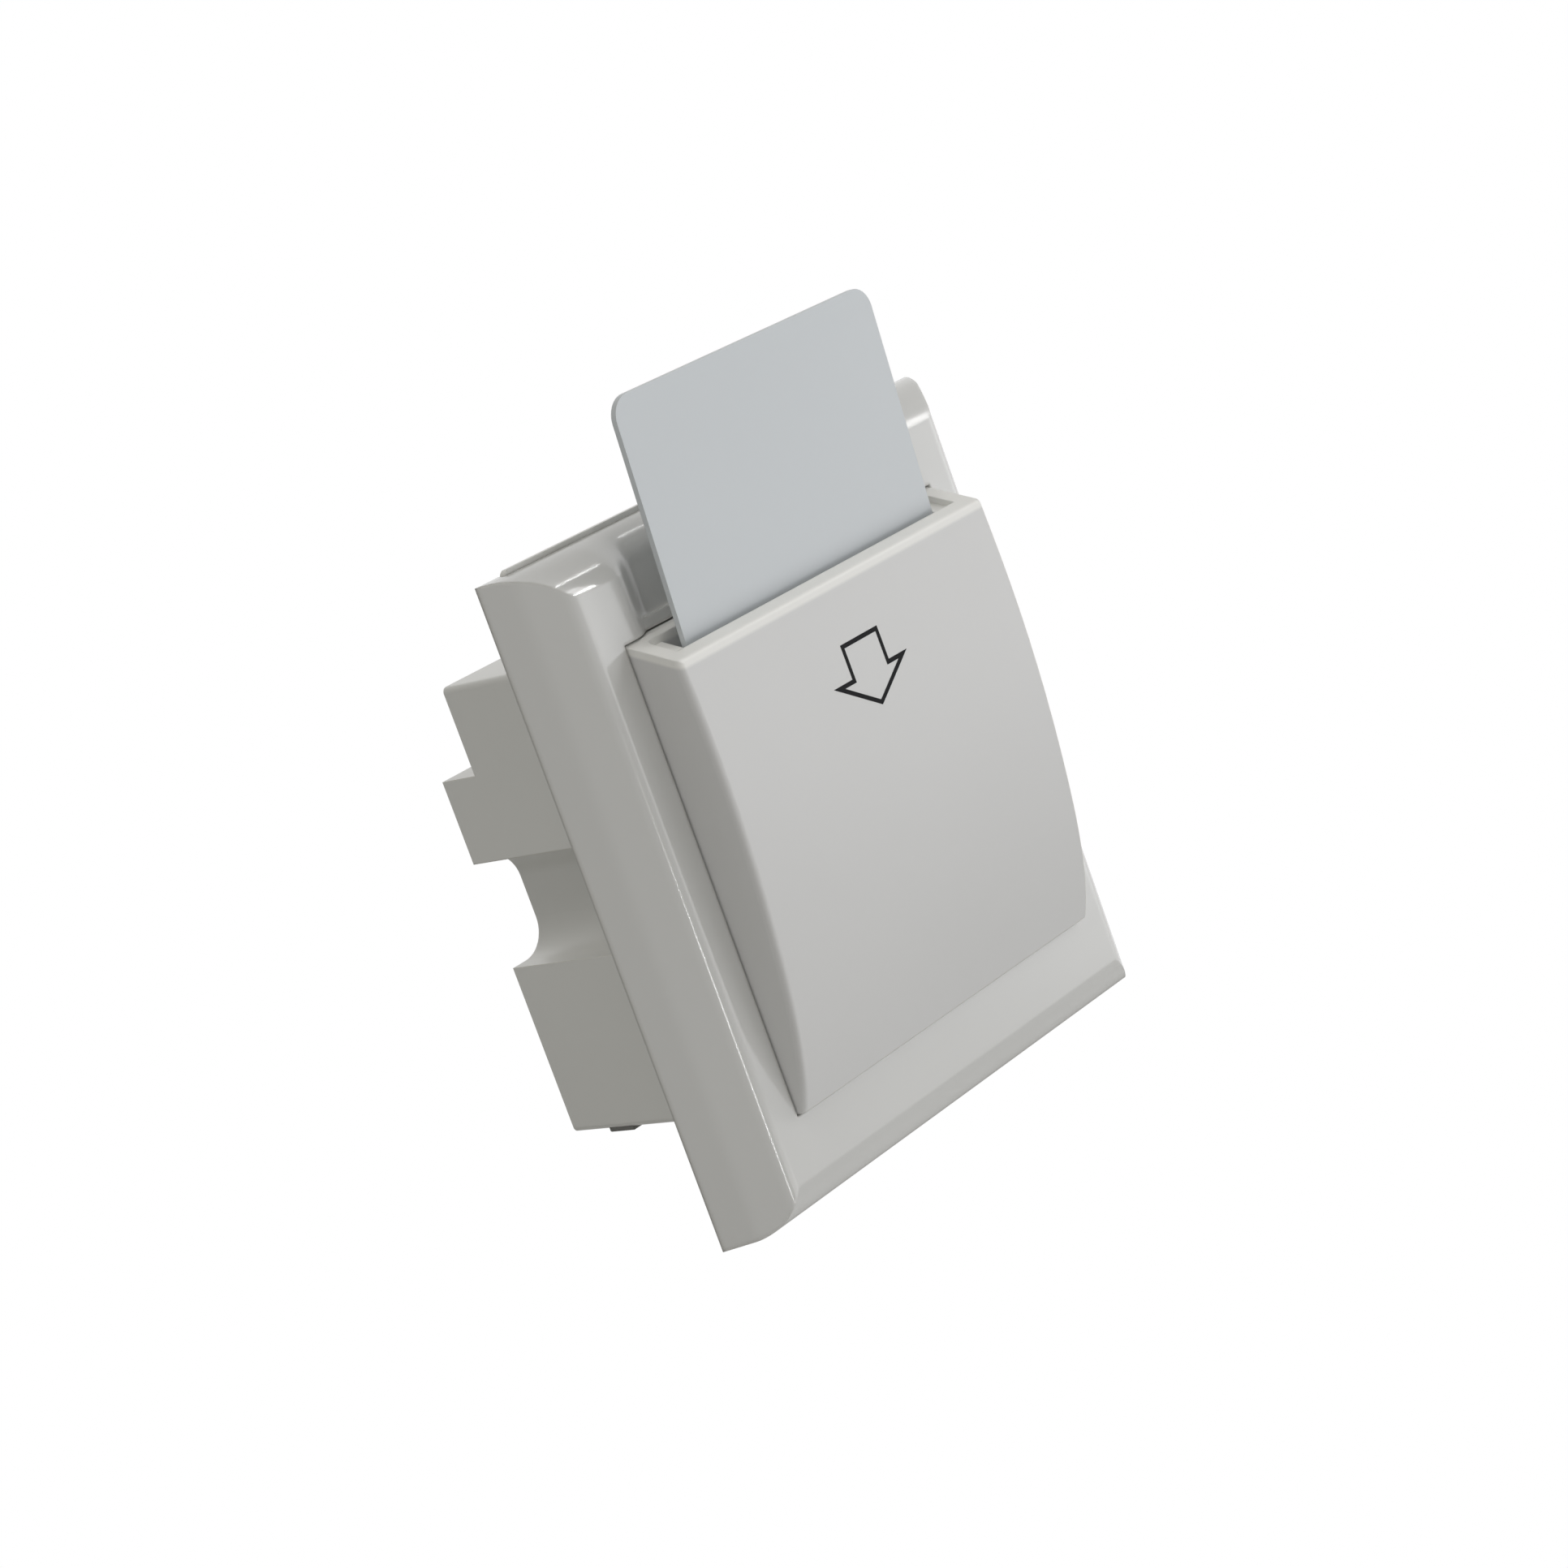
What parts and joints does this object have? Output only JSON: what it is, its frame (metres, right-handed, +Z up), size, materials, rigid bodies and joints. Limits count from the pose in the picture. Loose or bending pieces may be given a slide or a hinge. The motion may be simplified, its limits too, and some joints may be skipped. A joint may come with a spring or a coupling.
{
  "type": "key card switch",
  "caption": "Flush wall switch worked by a key card: square slanted face plate, wedge-shaped card pocket, inserted card, and a notched housing with wire terminals behind.",
  "frame": {"origin": "middle of the wall plane, halfway between the two slotted holes for the wall box screws", "axes": "-Y to the front, away from the wall; +Y into the wall box; +Z up, the way the card is pulled out; +X to the right as seen from the front"},
  "size_m": [0.092, 0.0485, 0.1087],
  "materials": {
    "white_gloss": "glossy white moulded plastic",
    "white_satin": "satin white moulded plastic",
    "card_white": "smooth laminated white card",
    "dark_plastic": "matt dark grey moulded plastic",
    "spring_steel": "bright spring steel",
    "zinc_steel": "zinc plated",
    "board_green": "glass-fibre board with green lacquer",
    "relay_blue": "smooth blue case",
    "film_red": "smooth red case",
    "capacitor_sleeve": "shrink sleeve with a bare metal top",
    "varistor_blue": "dipped blue coating",
    "fuse_glass": "clear glass tube",
    "plated_brass": "tin plated brass",
    "black_plastic": "matt black moulded plastic",
    "resistor_tan": "lacquered body with colour bands",
    "terminal_grey": "matt grey moulded plastic",
    "plunger_red": "matt red moulded plastic"
  },
  "bodies": {
    "switch": {"front_frame": "white_gloss", "card_cover": "white_gloss", "base_plate": "white_satin", "rear_housing": "white_satin", "card_guide": "dark_plastic", "leaf_springs": "spring_steel", "return_spring": "spring_steel", "housing_screws": "zinc_steel", "guide_screws": "zinc_steel", "board_screws": "zinc_steel", "circuit_board": "board_green", "relay": "relay_blue", "film_capacitor": "film_red", "electrolytic_capacitors": "capacitor_sleeve", "varistor": "varistor_blue", "fuse": "fuse_glass", "fuse_clips": "plated_brass", "bridge_rectifier": "black_plastic", "resistors": "resistor_tan", "terminal_block": "terminal_grey", "terminal_clamps": "plated_brass", "terminal_screws": "zinc_steel", "switch_body": "black_plastic", "switch_legs": "plated_brass"},
    "actuator": {"card_actuator": "dark_plastic"},
    "card": {"key_card": "card_white"},
    "lever": {"switch_lever": "spring_steel"},
    "plunger": {"switch_plunger": "plunger_red"}
  },
  "joints": [
    {"name": "actuator_slide", "type": "slide", "parent": "switch", "child": "actuator", "axis": [0, -0.0633, 0.998], "range_m": [0, 0.004], "stiffness_N_per_m": 10, "springref_m": 0.004, "deforming": ["return_spring"]},
    {"name": "card_slide", "type": "slide", "parent": "actuator", "child": "card", "axis": [0, -0.0633, 0.998], "range_m": [0, 0.058]},
    {"name": "lever_hinge", "type": "hinge", "parent": "switch", "child": "lever", "pos_m": [0.0216, 0.007, -0.0095], "axis": [0, 1, 0], "range_deg": [0, 13.6]},
    {"name": "plunger_slide", "type": "slide", "parent": "switch", "child": "plunger", "axis": [0, 0, 1], "range_m": [0, 0.0009]}
  ],
  "couplings": [
    {"joint": "lever_hinge", "follows": "actuator_slide", "rad_per_m": 58.9},
    {"joint": "plunger_slide", "follows": "actuator_slide", "ratio": 0.2}
  ]
}
